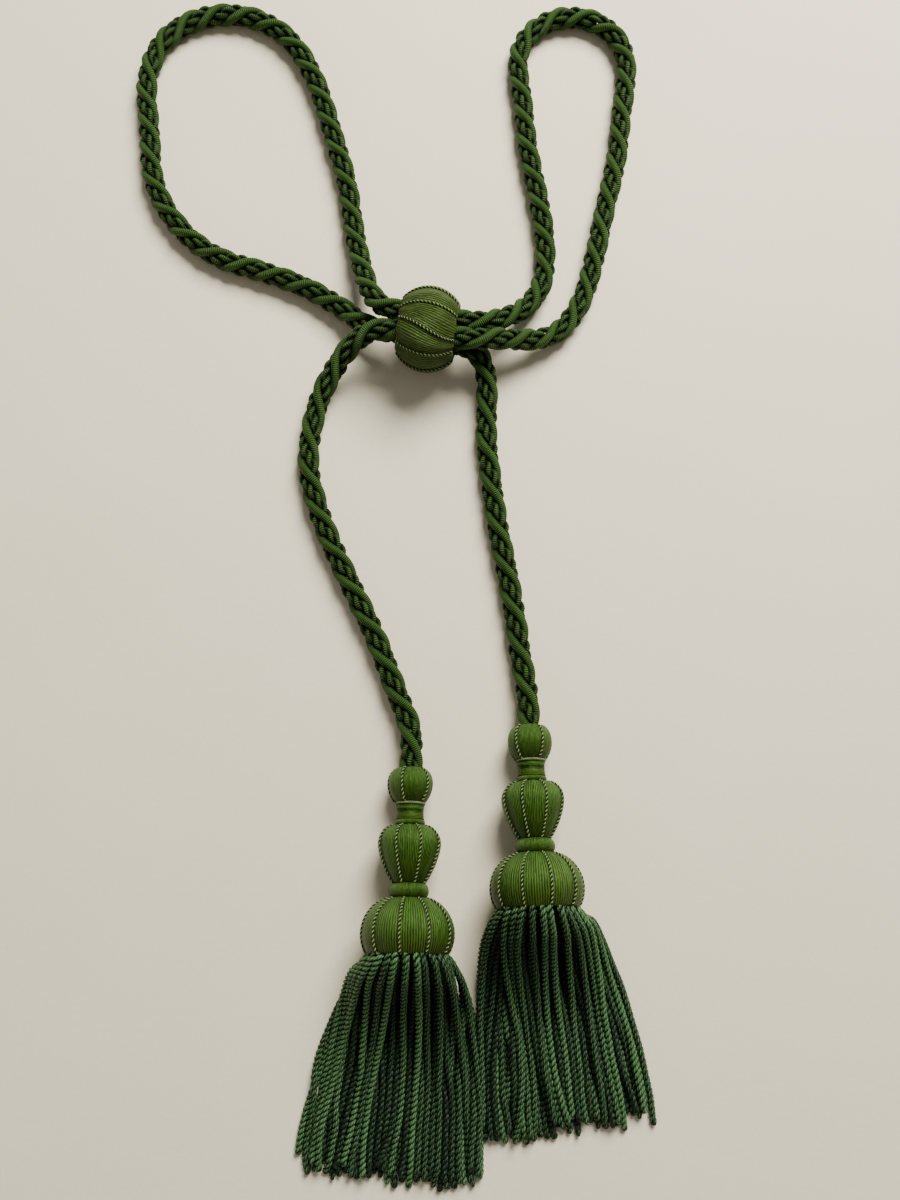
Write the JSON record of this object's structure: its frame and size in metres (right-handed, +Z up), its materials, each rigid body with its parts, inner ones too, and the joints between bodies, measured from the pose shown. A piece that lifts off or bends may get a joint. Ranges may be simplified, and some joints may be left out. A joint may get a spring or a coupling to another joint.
{
  "type": "tasselled curtain tie-back",
  "caption": "Tasselled curtain tie-back: a laid cord looped through a thread-covered slide, ending in turned, floss-covered heads with bullion fringe skirts.",
  "frame": {"origin": "under the middle of the slide and the two tassels, on the surface that the tie-back lies on", "axes": "+Z up from that surface; +Y from the tassels towards the loops; +X to the right seen from above"},
  "size_m": [0.3707, 0.824, 0.0594],
  "materials": {
    "rope": "laid viscose gimp cord, mid green, ribbed and satiny",
    "floss": "straight silk floss, yellow-green where lit, olive in shade",
    "gimp": "fine hard-twisted gimp with bead-like turns",
    "thread": "wound green thread",
    "bullion": "twisted bullion fringe, deep bottle green",
    "wood": "plain turned wood, covered all over"
  },
  "bodies": {
    "cord": {"cord": "rope"},
    "slide": {"slide_mould": "wood", "slide_cover": "floss", "slide_gimps": "gimp"},
    "left_tassel": {"left_hanging_cord": "rope", "left_cord_whipping": "thread", "left_ball_mould": "wood", "left_ball_cover": "floss", "left_ball_gimps": "gimp", "left_neck_top_ring": "thread", "left_neck_wrap": "thread", "left_neck_base_ring": "thread", "left_bulb_mould": "wood", "left_bulb_cover": "floss", "left_bulb_gimps": "gimp", "left_collar_core": "wood", "left_collar_cover": "floss", "left_melon_mould": "wood", "left_melon_cover": "floss", "left_melon_gimps": "gimp", "left_heading_band": "bullion", "left_heading_binding": "thread"},
    "left_fringe": {"left_skirt": "bullion"},
    "right_tassel": {"right_hanging_cord": "rope", "right_cord_whipping": "thread", "right_ball_mould": "wood", "right_ball_cover": "floss", "right_ball_gimps": "gimp", "right_neck_top_ring": "thread", "right_neck_wrap": "thread", "right_neck_base_ring": "thread", "right_bulb_mould": "wood", "right_bulb_cover": "floss", "right_bulb_gimps": "gimp", "right_collar_core": "wood", "right_collar_cover": "floss", "right_melon_mould": "wood", "right_melon_cover": "floss", "right_melon_gimps": "gimp", "right_heading_band": "bullion", "right_heading_binding": "thread"},
    "right_fringe": {"right_skirt": "bullion"}
  },
  "joints": [
    {"name": "slide_travel", "type": "slide", "parent": "cord", "child": "slide", "axis": [0.9877, -0.1564, 0], "range_m": [-0.004, 0.004]},
    {"name": "left_tassel_swing", "type": "hinge", "parent": "cord", "child": "left_tassel", "pos_m": [-0.04323, -0.0271, 0.01236], "axis": [0, 0, 1], "range_deg": [-30, 0]},
    {"name": "left_skirt_sway", "type": "hinge", "parent": "left_tassel", "child": "left_fringe", "pos_m": [-0.04422, -0.14019, 0.03024], "axis": [0, 0, 1], "range_deg": [-8, 0]},
    {"name": "right_tassel_swing", "type": "hinge", "parent": "cord", "child": "right_tassel", "pos_m": [0.03417, 0.0005, 0.01236], "axis": [0, 0, 1], "range_deg": [0, 30]},
    {"name": "right_skirt_sway", "type": "hinge", "parent": "right_tassel", "child": "right_fringe", "pos_m": [0.03714, -0.11256, 0.03024], "axis": [0, 0, 1], "range_deg": [0, 8]}
  ]
}
